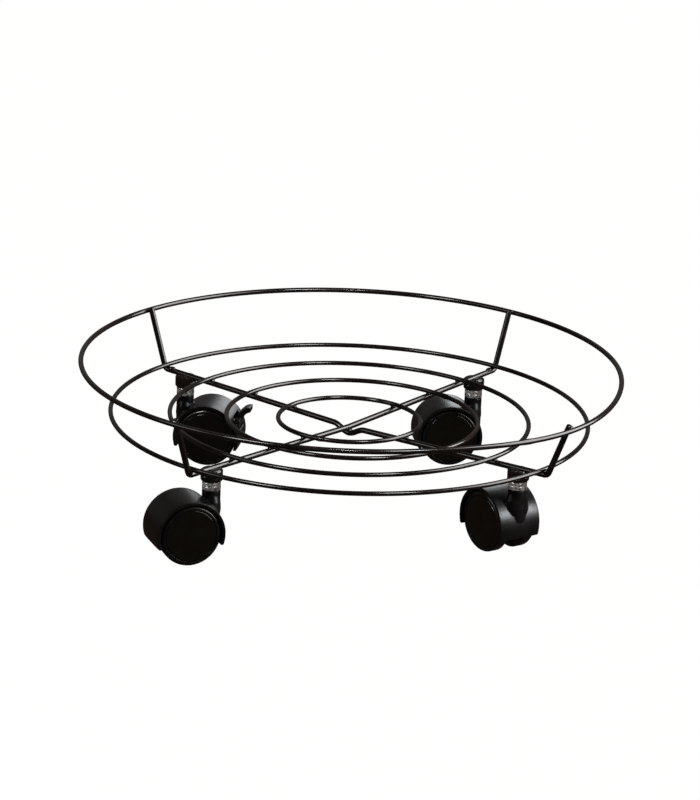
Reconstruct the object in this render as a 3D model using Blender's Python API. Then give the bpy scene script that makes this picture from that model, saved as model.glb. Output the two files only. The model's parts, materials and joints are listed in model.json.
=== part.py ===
"""Round wire plant pot caddy on four twin-wheel swivel castors, in metres, +Z up.

The origin is on the floor below the middle of the caddy, and +Y points to its back. Two cross wires lie
close to the diagonals. Each runs up into two uprights that hold the top ring, and four flat rings lie on
them. A socket under each arm holds a castor, which is set to its own heading.
"""

import math

import bmesh
import bpy
from mathutils import Matrix, Vector

MM = 0.001

# Driving dimensions of the wire frame.
TOP_RING_RADIUS = 167.9 * MM
TOP_RING_HEIGHT = 92.4 * MM
TOP_RING_WIRE = 1.6 * MM
TOP_RING_SAG = 3.5 * MM
SAG_HEADING = math.radians(-40.0)
SAG_HALF_SPAN = math.radians(42.0)
BASE_RING_HEIGHT = 60.0 * MM
BASE_RING_WIRE = 1.45 * MM
OUTER_RING_RADIUS = 148.9 * MM
SECOND_RING_RADIUS = 112.0 * MM
THIRD_RING_RADIUS = 78.5 * MM
INNER_RING_RADIUS = 44.5 * MM
THIRD_RING_SHIFT = 1.8 * MM
CROSS_WIRE = 1.85 * MM
DISH_SLOPE = 0.03
UPRIGHT_OVERSHOOT = 1.2 * MM
CENTRE_DIP_HALF_SPAN = 12.0 * MM
WELD_GAP = 0.2 * MM

# Sockets under the arms, and the castor stems screwed into them.
SOCKET_RADIUS = 6.75 * MM
SOCKET_BORE = 4.35 * MM
SOCKET_FOOT = 48.5 * MM
SOCKET_FOOT_ROUND = 1.8 * MM
SOCKET_BORE_TOP = 52.7 * MM
SOCKET_TOP = 55.6 * MM
STEM_THREAD = 4.0 * MM
STEM_TOP = 52.3 * MM
STEM_COLLAR = 5.7 * MM
STEM_COLLAR_NECK = 4.9 * MM
STEM_PINTLE = 3.5 * MM
STEM_LENGTH = 18.5 * MM

# The castor: a hood over two wheels on one axle.
TRAIL = 16.5 * MM
WHEEL_RADIUS = 19.0 * MM
WHEEL_INNER_FACE = 6.0 * MM
WHEEL_OUTER_FACE = 13.9 * MM
WHEEL_SHOULDER = 1.4 * MM
CAP_RADIUS = 16.0 * MM
CAP_CROWN = 14.3 * MM
AXLE_RADIUS = 2.0 * MM
AXLE_HALF_LENGTH = 12.2 * MM
CLIP_RADIUS = 4.2 * MM
CLIP_THICKNESS = 0.8 * MM
HOOD_RADIUS = 21.7 * MM
HOOD_WALL = 1.5 * MM
HOOD_HALF_WIDTH = 14.75 * MM
HOOD_SKIRT_DROP = 7.0 * MM
HOOD_WEB_HALF = 1.6 * MM
NECK_RADIUS = 5.65 * MM
NECK_TOP = 43.0 * MM
AXLE_BOSS_RADIUS = 4.6 * MM
RUNNING_GAP = 0.3 * MM

# The brake lever: a finger, and a nose that presses on both treads.
LEVER_PIVOT_ANGLE = math.radians(30.0)
LEVER_PIVOT_REACH = 22.4 * MM
LEVER_BARREL = 2.0 * MM
LEVER_HALF_WIDTH = 7.5 * MM
LEVER_FINGER_HALF_WIDTH = 4.6 * MM
LEVER_THICKNESS = 2.4 * MM
LEVER_TIP = (27.4 * MM, 17.3 * MM)
LEVER_NOSE = 4.4 * MM
PIN_RADIUS = 0.9 * MM
EAR_THICKNESS = 2.0 * MM

# Corners in a full turn, for each kind of round shape.
TOP_RING_SEGMENTS = 72
OUTER_RING_SEGMENTS = 64
SECOND_RING_SEGMENTS = 56
THIRD_RING_SEGMENTS = 44
INNER_RING_SEGMENTS = 32
RING_WIRE_SIDES = 6
CROSS_WIRE_SIDES = 8
WHEEL_SIDES = 20
HOOD_WALL_STEPS = 20
HOOD_WEB_STEPS = 16
NECK_SIDES = 16
SMALL_SIDES = 12

# Arm directions and the heading in which each castor trails, in degrees anticlockwise from +X, and how
# far out along its arm each castor's socket is welded.
ARM_ANGLES = {"front_left": 225.0, "front_right": 316.0, "back_left": 136.0, "back_right": 45.0}
HEADINGS = {"front_left": 195.0, "front_right": 118.0, "back_left": -15.0, "back_right": 182.0}
SOCKET_REACHES = {
    "front_left": 130.5 * MM,
    "front_right": 130.0 * MM,
    "back_left": 134.0 * MM,
    "back_right": 129.5 * MM,
}
BRAKED_CASTOR = "back_left"

PAINT = ("black_paint", (0.010, 0.009, 0.009), 0.28, 0.0)
CHROME = ("chrome_plate", (0.78, 0.77, 0.75), 0.12, 1.0)
STEEL = ("bright_steel", (0.52, 0.51, 0.50), 0.35, 1.0)
NYLON = ("black_nylon", (0.020, 0.019, 0.022), 0.50, 0.0)
TREAD = ("black_tread", (0.014, 0.013, 0.013), 0.60, 0.0)
GLOSS = ("black_gloss", (0.008, 0.008, 0.009), 0.22, 0.0)


def clear_scene():
    for old in list(bpy.data.objects):
        bpy.data.objects.remove(old, do_unlink=True)


def finish_of(recipe):
    name, colour, roughness, metallic = recipe
    material = bpy.data.materials.get(name) or bpy.data.materials.new(name)
    material.use_nodes = True
    shader = material.node_tree.nodes["Principled BSDF"]
    shader.inputs["Base Color"].default_value = (*colour, 1.0)
    shader.inputs["Roughness"].default_value = roughness
    shader.inputs["Metallic"].default_value = metallic
    return material


def place(name, mesh, finish, parent=None, location=(0.0, 0.0, 0.0), rotation=(0.0, 0.0, 0.0)):
    """Adds one named object, smooth shaded up to a crease of 40 degrees."""
    piece = bpy.data.objects.new(name, mesh)
    bpy.context.collection.objects.link(piece)
    if not mesh.materials:
        mesh.materials.append(finish_of(finish))
    mesh.shade_smooth()
    mesh.set_sharp_from_angle(angle=math.radians(40.0))
    piece.parent = parent
    piece.location = location
    piece.rotation_euler = rotation
    return piece


def mesh_from(name, corners, faces):
    """A mesh from corner points and faces, with its faces turned outwards."""
    shape = bmesh.new()
    points = [shape.verts.new(corner) for corner in corners]
    for face in faces:
        shape.faces.new([points[index] for index in face])
    bmesh.ops.recalc_face_normals(shape, faces=shape.faces)
    mesh = bpy.data.meshes.new(name)
    shape.to_mesh(mesh)
    shape.free()
    return mesh


def sweep_mesh(name, sections, closed):
    """Joins equal loops of points into a tube, with flat ends unless the tube is closed."""
    sides = len(sections[0])
    corners = [point for section in sections for point in section]
    faces = []
    for step in range(len(sections) if closed else len(sections) - 1):
        near = step * sides
        far = (step + 1) % len(sections) * sides
        for side in range(sides):
            after = (side + 1) % sides
            faces.append((near + side, near + after, far + after, far + side))
    if not closed:
        faces.append(tuple(range(sides)))
        faces.append(tuple(range(len(corners) - sides, len(corners))))
    return mesh_from(name, corners, faces)


def lathe_mesh(name, outline, sides, flats_on_size=False):
    """Turns a closed outline of (radius, height) points about Z. With flats_on_size, the flats of the
    many-sided shape lie on the stated radii, so that a bore keeps its clearance; otherwise its corners do."""
    grow = 1.0 / math.cos(math.pi / sides) if flats_on_size else 1.0
    sections = []
    for step in range(sides):
        angle = 2.0 * math.pi * (step + 0.5) / sides
        along = Vector((math.cos(angle), math.sin(angle), 0.0)) * grow
        sections.append([along * radius + Vector((0.0, 0.0, height)) for radius, height in outline])
    return sweep_mesh(name, sections, closed=True)


def rod_mesh(name, outline, sides):
    """Turns an open outline of (radius, height) points about Z, and closes its two ends flat."""
    sections = []
    for radius, height in outline:
        turn = [2.0 * math.pi * (side + 0.5) / sides for side in range(sides)]
        sections.append([Vector((radius * math.cos(a), radius * math.sin(a), height)) for a in turn])
    return sweep_mesh(name, sections, closed=False)


def plate_mesh(name, outline, half_width):
    """Extrudes an outline of (x, z) points along Y, to both sides of the middle."""
    near = [Vector((x, -half_width, z)) for x, z in outline]
    far = [Vector((x, half_width, z)) for x, z in outline]
    return sweep_mesh(name, [near, far], closed=False)


def arc(centre, radius, start, end, steps):
    """Points on a circular arc between two angles in radians."""
    angles = [start + (end - start) * step / steps for step in range(steps + 1)]
    return [(centre[0] + radius * math.cos(a), centre[1] + radius * math.sin(a)) for a in angles]


def join(target, other, operation):
    """Adds an exact Boolean of another mesh, which stays hidden as a helper."""
    helper = bpy.data.objects.new(f"{target.name}_{operation.lower()}_helper", other)
    bpy.context.collection.objects.link(helper)
    helper.parent = target.parent
    helper.location = target.location
    helper.rotation_euler = target.rotation_euler
    helper.hide_render = True
    helper.display_type = "WIRE"
    modifier = target.modifiers.new(other.name, "BOOLEAN")
    modifier.operation = operation
    modifier.solver = "EXACT"
    modifier.object = helper


def arm_height(reach):
    """Height of a cross wire's centre line at a distance from the middle, away from the dip."""
    slope = math.atan(DISH_SLOPE)
    nest = CROSS_WIRE + BASE_RING_WIRE + WELD_GAP
    under_ring = BASE_RING_HEIGHT - nest / math.cos(slope)
    return under_ring + DISH_SLOPE * (reach - OUTER_RING_RADIUS)


def ring_height(radius):
    """Height of a base ring that lies on the cross wires."""
    return BASE_RING_HEIGHT + DISH_SLOPE * (radius - OUTER_RING_RADIUS)


def ring_mesh(name, radius, height, wire, segments, shift=0.0):
    """A wire ring whose section has a flat on top."""
    outline = arc((radius, height), wire, 0.0, 2.0 * math.pi, RING_WIRE_SIDES)[:-1]
    mesh = lathe_mesh(name, outline, segments)
    mesh.transform(Matrix.Translation((shift, 0.0, 0.0)))
    return mesh


def top_ring_height(angle):
    """Height of the top ring at an angle in radians; it sags round one upright."""
    away = math.remainder(angle - SAG_HEADING, 2.0 * math.pi)
    if abs(away) > SAG_HALF_SPAN:
        return TOP_RING_HEIGHT
    return TOP_RING_HEIGHT - TOP_RING_SAG * (0.5 + 0.5 * math.cos(math.pi * away / SAG_HALF_SPAN))


def sagged(mesh):
    """Lowers each corner of the level top ring to the ring's height at its angle."""
    for vertex in mesh.vertices:
        angle = math.atan2(vertex.co.y, vertex.co.x)
        vertex.co.z += top_ring_height(angle) - TOP_RING_HEIGHT
    return mesh


def upright_direction(top_height):
    """Angle of an upright that passes outside the outer base ring and inside the top ring."""
    apart = Vector((TOP_RING_RADIUS - OUTER_RING_RADIUS, top_height - BASE_RING_HEIGHT))
    clearances = BASE_RING_WIRE + TOP_RING_WIRE + 2.0 * (CROSS_WIRE + WELD_GAP)
    return math.atan2(apart.y, apart.x) + math.pi / 2.0 - math.acos(clearances / apart.length)


def arm_path(angle):
    """Half a cross wire, as (reach, height) points from the upright's top to the start of the dip."""
    nest = CROSS_WIRE + BASE_RING_WIRE + WELD_GAP
    ring_centre = (OUTER_RING_RADIUS, BASE_RING_HEIGHT)
    top_height = top_ring_height(angle)
    lean = upright_direction(top_height)
    elbow = arc(ring_centre, nest, lean - math.pi / 2.0, math.atan(DISH_SLOPE) - math.pi / 2.0, 6)
    along = Vector((math.cos(lean), math.sin(lean)))
    foot = Vector(elbow[0])
    rise = (Vector((TOP_RING_RADIUS, top_height)) - foot).dot(along) + UPRIGHT_OVERSHOOT
    top = foot + along * rise
    return [tuple(top), *elbow, (CENTRE_DIP_HALF_SPAN, arm_height(CENTRE_DIP_HALF_SPAN))]


def dip_path(depth):
    """The middle of a cross wire, which dips in a smooth wave by the given depth."""
    steps = 12
    points = []
    for step in range(1, steps):
        reach = CENTRE_DIP_HALF_SPAN * (1.0 - 2.0 * step / steps)
        wave = 0.5 + 0.5 * math.cos(math.pi * reach / CENTRE_DIP_HALF_SPAN)
        points.append((reach, arm_height(abs(reach)) - depth * wave))
    return points


def cross_wire_mesh(name, angle, depth):
    """One wire from upright to upright, in the upright plane at the given angle."""
    middle = dip_path(depth) if depth else [(0.0, arm_height(0.0))]
    opposite = [(-reach, height) for reach, height in reversed(arm_path(angle + math.pi))]
    path = arm_path(angle) + middle + opposite
    outward = Vector((math.cos(angle), math.sin(angle), 0.0))
    across = Vector((-math.sin(angle), math.cos(angle), 0.0))
    up = Vector((0.0, 0.0, 1.0))
    centres = [outward * reach + up * height for reach, height in path]
    sections = []
    for index, centre in enumerate(centres):
        before = centres[max(index - 1, 0)]
        after = centres[min(index + 1, len(centres) - 1)]
        into = (centre - before).normalized() + (after - centre).normalized()
        normal = across.cross(into).normalized()
        stretch = 1.0
        if 0 < index < len(centres) - 1:
            stretch = 1.0 / max(0.8, (centre - before).normalized().dot(into.normalized()))
        section = []
        for side in range(CROSS_WIRE_SIDES):
            turn = 2.0 * math.pi * (side + 0.5) / CROSS_WIRE_SIDES
            offset = across * math.cos(turn) + normal * (math.sin(turn) * stretch)
            section.append(centre + offset * CROSS_WIRE)
        sections.append(section)
    return sweep_mesh(name, sections, closed=False)


def build_rings():
    top = ring_mesh("top_ring", TOP_RING_RADIUS, TOP_RING_HEIGHT, TOP_RING_WIRE, TOP_RING_SEGMENTS)
    place("top_ring", sagged(top), PAINT)
    base_rings = (
        ("base_ring_outer", OUTER_RING_RADIUS, OUTER_RING_SEGMENTS, 0.0),
        ("base_ring_second", SECOND_RING_RADIUS, SECOND_RING_SEGMENTS, 0.0),
        ("base_ring_third", THIRD_RING_RADIUS, THIRD_RING_SEGMENTS, THIRD_RING_SHIFT),
        ("base_ring_inner", INNER_RING_RADIUS, INNER_RING_SEGMENTS, 0.0),
    )
    for name, radius, segments, shift in base_rings:
        mesh = ring_mesh(name, radius, ring_height(radius), BASE_RING_WIRE, segments, shift)
        place(name, mesh, PAINT)


def build_cross_wires():
    upper = cross_wire_mesh("cross_wire_upper", math.radians(ARM_ANGLES["back_right"]), 0.0)
    place("cross_wire_upper", upper, PAINT)
    depth = 2.0 * CROSS_WIRE + WELD_GAP
    lower = cross_wire_mesh("cross_wire_lower", math.radians(ARM_ANGLES["back_left"]), depth)
    place("cross_wire_lower", lower, PAINT)


def stem_place(corner):
    """The point on the floor below a castor's stem."""
    angle = math.radians(ARM_ANGLES[corner])
    reach = SOCKET_REACHES[corner]
    return Vector((reach * math.cos(angle), reach * math.sin(angle), 0.0))


def socket_body_mesh(name):
    """A short round with a rounded foot."""
    half_round = 0.3 * SOCKET_FOOT_ROUND
    outline = [
        (SOCKET_RADIUS - SOCKET_FOOT_ROUND, SOCKET_FOOT),
        (SOCKET_RADIUS - half_round, SOCKET_FOOT + half_round),
        (SOCKET_RADIUS, SOCKET_FOOT + SOCKET_FOOT_ROUND),
        (SOCKET_RADIUS, SOCKET_TOP),
    ]
    return rod_mesh(name, outline, SMALL_SIDES)


def socket_bore_mesh():
    """The blind hole for the stem's thread, whose flats keep their clearance."""
    reach = SOCKET_BORE / math.cos(math.pi / SMALL_SIDES)
    return rod_mesh("socket_bore", [(reach, SOCKET_FOOT - MM), (reach, SOCKET_BORE_TOP)], SMALL_SIDES)


def socket_notch_mesh(reach):
    """The groove across a socket's top that the arm lies in."""
    floor = arm_height(reach) - CROSS_WIRE - DISH_SLOPE * SOCKET_RADIUS - RUNNING_GAP
    half = CROSS_WIRE + RUNNING_GAP
    top = SOCKET_TOP + MM
    outline = [(-half, floor), (half, floor), (half, top), (-half, top)]
    mesh = plate_mesh("socket_notch", outline, 2.0 * SOCKET_RADIUS)
    mesh.transform(Matrix.Rotation(math.pi / 2.0, 4, "Z"))
    return mesh


def build_socket(corner):
    """A blind socket whose top is notched to take the arm."""
    heading = math.radians(ARM_ANGLES[corner])
    mesh = socket_body_mesh(f"socket_{corner}")
    socket = place(f"socket_{corner}", mesh, PAINT, None, stem_place(corner), (0.0, 0.0, heading))
    join(socket, socket_bore_mesh(), "DIFFERENCE")
    join(socket, socket_notch_mesh(SOCKET_REACHES[corner]), "DIFFERENCE")


def build_stem(corner, mesh):
    place(f"stem_{corner}", mesh, CHROME, None, stem_place(corner))


def stem_mesh():
    """Threaded top, a collar in two bands and the pintle that the hood turns on."""
    foot = NECK_TOP + RUNNING_GAP
    top = SOCKET_FOOT - RUNNING_GAP
    groove = foot + 0.58 * (top - foot)
    edge = 0.4 * MM
    outline = [
        (STEM_PINTLE - edge, foot - STEM_LENGTH),
        (STEM_PINTLE, foot - STEM_LENGTH + edge),
        (STEM_PINTLE, foot),
        (STEM_COLLAR - edge, foot),
        (STEM_COLLAR, foot + edge),
        (STEM_COLLAR, groove - edge),
        (STEM_COLLAR_NECK, groove),
        (STEM_COLLAR - edge, groove + edge),
        (STEM_COLLAR - edge, top),
        (STEM_THREAD, top),
        (STEM_THREAD, STEM_TOP - edge),
        (STEM_THREAD - edge, STEM_TOP),
    ]
    return rod_mesh("castor_stem", outline, SMALL_SIDES)


def hood_shell_outline():
    """The hood's wall seen along the axle, with both skirts cut level."""
    inside = HOOD_RADIUS - HOOD_WALL
    outer_drop = math.asin(HOOD_SKIRT_DROP / HOOD_RADIUS)
    inner_drop = math.asin(HOOD_SKIRT_DROP / inside)
    outer = arc((0.0, 0.0), HOOD_RADIUS, -outer_drop, math.pi + outer_drop, HOOD_WALL_STEPS)
    inner = arc((0.0, 0.0), inside, math.pi + inner_drop, -inner_drop, HOOD_WALL_STEPS)
    return outer + inner


def lever_pivot():
    return (
        LEVER_PIVOT_REACH * math.cos(LEVER_PIVOT_ANGLE),
        LEVER_PIVOT_REACH * math.sin(LEVER_PIVOT_ANGLE),
    )


def along_axle(mesh):
    """Turns a mesh made about Z so that it lies along Y."""
    mesh.transform(Matrix.Rotation(-math.pi / 2.0, 4, "X"))
    return mesh


def hood_web_mesh():
    """The rib between the wheels, which reaches a little into the wall."""
    reach = HOOD_RADIUS - 0.5 * HOOD_WALL
    drop = math.asin((HOOD_SKIRT_DROP - MM) / reach)
    outline = arc((0.0, 0.0), reach, -drop, math.pi + drop, HOOD_WEB_STEPS)
    return plate_mesh("hood_web", outline, HOOD_WEB_HALF)


def hood_neck_mesh():
    """The column around the stem, from between the wheels to the neck's top."""
    foot = -3.0 * MM
    top = NECK_TOP - WHEEL_RADIUS
    edge = 0.6 * MM
    outline = [(NECK_RADIUS, foot), (NECK_RADIUS, top - edge), (NECK_RADIUS - edge, top)]
    mesh = rod_mesh("hood_neck", outline, NECK_SIDES)
    mesh.transform(Matrix.Translation((-TRAIL, 0.0, 0.0)))
    return mesh


def stem_bore_mesh():
    reach = STEM_PINTLE + RUNNING_GAP
    foot = NECK_TOP - WHEEL_RADIUS - STEM_LENGTH - MM
    outline = [(reach, foot), (reach, NECK_TOP)]
    mesh = rod_mesh("stem_bore", outline, SMALL_SIDES)
    mesh.transform(Matrix.Translation((-TRAIL, 0.0, 0.0)))
    return mesh


def cross_rod_mesh(name, radius, half_length, centre=(0.0, 0.0), sides=SMALL_SIDES):
    """A plain round along the axle's direction."""
    mesh = along_axle(rod_mesh(name, [(radius, -half_length), (radius, half_length)], sides))
    mesh.transform(Matrix.Translation((centre[0], 0.0, centre[1])))
    return mesh


def brake_slot_mesh():
    """The opening in the hood that the lever works in."""
    start = LEVER_PIVOT_ANGLE - math.radians(17.0)
    end = LEVER_PIVOT_ANGLE + math.radians(9.0)
    outside = arc((0.0, 0.0), HOOD_RADIUS + 6.0 * MM, start, end, 4)
    inside = arc((0.0, 0.0), WHEEL_RADIUS - 1.5 * MM, end, start, 4)
    return plate_mesh("brake_slot", outside + inside, LEVER_HALF_WIDTH + RUNNING_GAP)


def add_brake_seat(hood):
    """Two ears with a pin hole, and a slot between them."""
    half = LEVER_HALF_WIDTH + RUNNING_GAP + EAR_THICKNESS
    join(hood, cross_rod_mesh("brake_ears", LEVER_BARREL, half, lever_pivot()), "UNION")
    join(hood, brake_slot_mesh(), "DIFFERENCE")
    hole = cross_rod_mesh("pin_hole", PIN_RADIUS + 0.2 * MM, half + MM, lever_pivot())
    join(hood, hole, "DIFFERENCE")


def build_hood(corner, swivel):
    """Wall, rib, neck and axle boss in one moulding; its origin is the middle of the axle."""
    mesh = plate_mesh(f"hood_{corner}", hood_shell_outline(), HOOD_HALF_WIDTH)
    hood = place(f"hood_{corner}", mesh, NYLON, swivel, (TRAIL, 0.0, WHEEL_RADIUS))
    join(hood, hood_web_mesh(), "UNION")
    join(hood, hood_neck_mesh(), "UNION")
    boss = cross_rod_mesh("axle_boss", AXLE_BOSS_RADIUS, WHEEL_INNER_FACE - RUNNING_GAP)
    join(hood, boss, "UNION")
    join(hood, stem_bore_mesh(), "DIFFERENCE")
    axle_hole = cross_rod_mesh("axle_hole", AXLE_RADIUS + 0.2 * MM, 2.0 * WHEEL_INNER_FACE)
    join(hood, axle_hole, "DIFFERENCE")
    if corner == BRAKED_CASTOR:
        add_brake_seat(hood)


def wheel_mesh():
    """Tread, web and hub turned about +Z, which points away from the castor's middle."""
    hub = AXLE_RADIUS + 3.0 * MM
    rim = CAP_RADIUS + RUNNING_GAP
    web_in = WHEEL_INNER_FACE + 2.6 * MM
    web_out = web_in + 1.8 * MM
    edge = WHEEL_SHOULDER
    outline = [
        (AXLE_RADIUS + 0.2 * MM, WHEEL_INNER_FACE),
        (hub, WHEEL_INNER_FACE),
        (hub, web_in),
        (rim, web_in),
        (rim, WHEEL_INNER_FACE),
        (WHEEL_RADIUS - 0.5 * edge, WHEEL_INNER_FACE),
        (WHEEL_RADIUS, WHEEL_INNER_FACE + 0.5 * edge),
        (WHEEL_RADIUS, WHEEL_OUTER_FACE - edge),
        (WHEEL_RADIUS - edge, WHEEL_OUTER_FACE),
        (rim, WHEEL_OUTER_FACE),
        (rim, web_out),
        (AXLE_RADIUS + 0.2 * MM, web_out),
    ]
    return lathe_mesh("castor_wheel", outline, WHEEL_SIDES, flats_on_size=True)


def cap_mesh():
    """The disc that closes a wheel, with a chamfered rim and a low crown."""
    seat = AXLE_HALF_LENGTH + RUNNING_GAP
    outline = [
        (CAP_RADIUS, seat),
        (CAP_RADIUS, WHEEL_OUTER_FACE - 0.4 * MM),
        (CAP_RADIUS - 1.2 * MM, WHEEL_OUTER_FACE),
        (0.4 * CAP_RADIUS, CAP_CROWN),
    ]
    return rod_mesh("hub_cap", outline, WHEEL_SIDES)


def clip_mesh():
    """The push-on washer that keeps a wheel on the axle."""
    seat = WHEEL_INNER_FACE + 4.4 * MM + RUNNING_GAP
    bore = AXLE_RADIUS + 0.05 * MM
    outline = [
        (bore, seat),
        (CLIP_RADIUS, seat),
        (CLIP_RADIUS, seat + CLIP_THICKNESS),
        (bore, seat + CLIP_THICKNESS),
    ]
    return lathe_mesh("axle_clip", outline, SMALL_SIDES, flats_on_size=True)


def build_axle_group(corner, swivel, wheel, cap, clip):
    """The axle and, on both ends, a wheel, its cap and its clip; all have their origin on the axle."""
    middle = (TRAIL, 0.0, WHEEL_RADIUS)
    axle = cross_rod_mesh(f"axle_{corner}", AXLE_RADIUS, AXLE_HALF_LENGTH)
    place(f"axle_{corner}", axle, STEEL, swivel, middle)
    for side, turn in (("a", -math.pi / 2.0), ("b", math.pi / 2.0)):
        outward = (turn, 0.0, 0.0)
        place(f"wheel_{corner}_{side}", wheel, TREAD, swivel, middle, outward)
        place(f"hub_cap_{corner}_{side}", cap, GLOSS, swivel, middle, outward)
        place(f"axle_clip_{corner}_{side}", clip, STEEL, swivel, middle, outward)


def finger_outline():
    """The finger's side view: from the barrel it curves up and ends level, with an even thickness."""
    start = Vector((0.0, 0.0))
    end = Vector(LEVER_TIP) - Vector(lever_pivot())
    bend = Vector((0.45 * end.x, end.y))
    half = 0.5 * LEVER_THICKNESS
    steps = 8
    upper = []
    lower = []
    for step in range(steps + 1):
        t = step / steps
        point = start * (1.0 - t) ** 2 + bend * (2.0 * t * (1.0 - t)) + end * t**2
        slope = ((bend - start) * (1.0 - t) + (end - bend) * t).normalized()
        normal = Vector((-slope.y, slope.x))
        upper.append(tuple(point + normal * half))
        lower.append(tuple(point - normal * half))
    return lower + upper[::-1]


def nose_outline():
    """The brake pad below the barrel, which hangs just clear of the treads."""
    drop = LEVER_PIVOT_ANGLE - LEVER_NOSE / LEVER_PIVOT_REACH
    inner_reach = WHEEL_RADIUS + 1.35 * MM
    outer_reach = inner_reach + 1.9 * MM
    inner = arc((0.0, 0.0), inner_reach, drop, LEVER_PIVOT_ANGLE, 3)
    outer = arc((0.0, 0.0), outer_reach, LEVER_PIVOT_ANGLE, drop, 3)
    pivot = lever_pivot()
    return [(x - pivot[0], z - pivot[1]) for x, z in inner + outer]


def build_brake(corner, swivel):
    """The lever, with its origin on its pin, and the pin."""
    pivot = lever_pivot()
    centre = (TRAIL + pivot[0], 0.0, WHEEL_RADIUS + pivot[1])
    barrel = cross_rod_mesh(f"brake_lever_{corner}", LEVER_BARREL - 0.1 * MM, LEVER_HALF_WIDTH)
    lever = place(f"brake_lever_{corner}", barrel, NYLON, swivel, centre)
    join(lever, plate_mesh("lever_finger", finger_outline(), LEVER_FINGER_HALF_WIDTH), "UNION")
    join(lever, plate_mesh("lever_nose", nose_outline(), LEVER_HALF_WIDTH), "UNION")
    hole = cross_rod_mesh("lever_hole", PIN_RADIUS + 0.2 * MM, 2.0 * LEVER_HALF_WIDTH)
    join(lever, hole, "DIFFERENCE")
    half = LEVER_HALF_WIDTH + RUNNING_GAP + EAR_THICKNESS
    pin = cross_rod_mesh(f"brake_pin_{corner}", PIN_RADIUS, half, sides=12)
    place(f"brake_pin_{corner}", pin, STEEL, swivel, centre)


def swivel_frame(corner):
    """An empty on the stem's axis, turned to the castor's heading."""
    swivel = bpy.data.objects.new(f"swivel_{corner}", None)
    bpy.context.collection.objects.link(swivel)
    swivel.location = stem_place(corner)
    swivel.rotation_euler = (0.0, 0.0, math.radians(HEADINGS[corner]))
    return swivel


def build_castors():
    stem = stem_mesh()
    wheel = wheel_mesh()
    cap = cap_mesh()
    clip = clip_mesh()
    for corner in ARM_ANGLES:
        swivel = swivel_frame(corner)
        build_socket(corner)
        build_stem(corner, stem)
        build_hood(corner, swivel)
        build_axle_group(corner, swivel, wheel, cap, clip)
        if corner == BRAKED_CASTOR:
            build_brake(corner, swivel)


clear_scene()
build_rings()
build_cross_wires()
build_castors()
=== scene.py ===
"""Finished surfaces of the wire plant pot caddy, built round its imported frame, in metres, +Z up.

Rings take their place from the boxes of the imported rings, and castors from their swivel and spin joints.
Castor shapes are made round the middle of the axle, with +X away from the stem and Y along the axle.
"""

import json
from math import acos, asin, atan, atan2, cos, exp, pi, radians, remainder, sin, tan

import bmesh
import bpy
from mathutils import Matrix, Vector, noise

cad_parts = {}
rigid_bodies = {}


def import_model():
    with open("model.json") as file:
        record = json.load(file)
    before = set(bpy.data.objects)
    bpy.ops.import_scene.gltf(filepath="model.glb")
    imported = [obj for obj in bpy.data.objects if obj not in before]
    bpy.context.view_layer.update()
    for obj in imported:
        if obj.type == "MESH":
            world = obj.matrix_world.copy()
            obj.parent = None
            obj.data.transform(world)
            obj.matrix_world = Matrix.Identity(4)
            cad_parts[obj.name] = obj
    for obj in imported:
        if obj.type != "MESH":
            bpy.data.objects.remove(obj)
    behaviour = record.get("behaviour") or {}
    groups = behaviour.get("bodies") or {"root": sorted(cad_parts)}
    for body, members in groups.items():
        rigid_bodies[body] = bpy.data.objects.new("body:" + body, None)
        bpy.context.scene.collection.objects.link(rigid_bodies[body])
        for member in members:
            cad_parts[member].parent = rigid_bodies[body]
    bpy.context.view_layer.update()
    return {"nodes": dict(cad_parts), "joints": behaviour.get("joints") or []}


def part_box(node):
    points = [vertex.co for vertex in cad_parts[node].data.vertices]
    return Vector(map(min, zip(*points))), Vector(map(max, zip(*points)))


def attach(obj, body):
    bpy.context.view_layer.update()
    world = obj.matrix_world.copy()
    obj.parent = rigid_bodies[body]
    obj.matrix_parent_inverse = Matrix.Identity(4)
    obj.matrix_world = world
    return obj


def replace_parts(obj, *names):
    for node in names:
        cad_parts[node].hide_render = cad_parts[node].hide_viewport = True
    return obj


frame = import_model()

MM = 0.001
UP = Vector((0.0, 0.0, 1.0))
JOINTS = {joint["name"]: joint for joint in frame["joints"]}
CORNERS = ("front_left", "front_right", "back_left", "back_right")
BRAKED_CASTOR = "back_left"

# Wire frame.
TOP_RING_WIRE = 1.6 * MM
BASE_RING_WIRE = 1.45 * MM
CROSS_WIRE = 1.85 * MM
UPRIGHT_OVERSHOOT = 1.2 * MM
WIRE_END_SHARES = (0.72, 0.95)
TOP_RING_SAG = 3.5 * MM
SAG_HEADING = radians(-40.0)
SAG_HALF_SPAN = radians(42.0)
CENTRE_DIP_HALF_SPAN = 12.0 * MM
WELD_GAP = 0.2 * MM
RING_WANDER = 0.1 * MM
SEAM_HALF_LENGTH = 2.2 * MM
SEAM_SWELL = 0.22
# Where each ring's wire is butt welded to its own end, in degrees anticlockwise from +X.
SEAMS = {
    "top_ring": -58.0,
    "base_ring_outer": -6.0,
    "base_ring_second": 152.0,
    "base_ring_third": 35.0,
    "base_ring_inner": 240.0,
}

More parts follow.
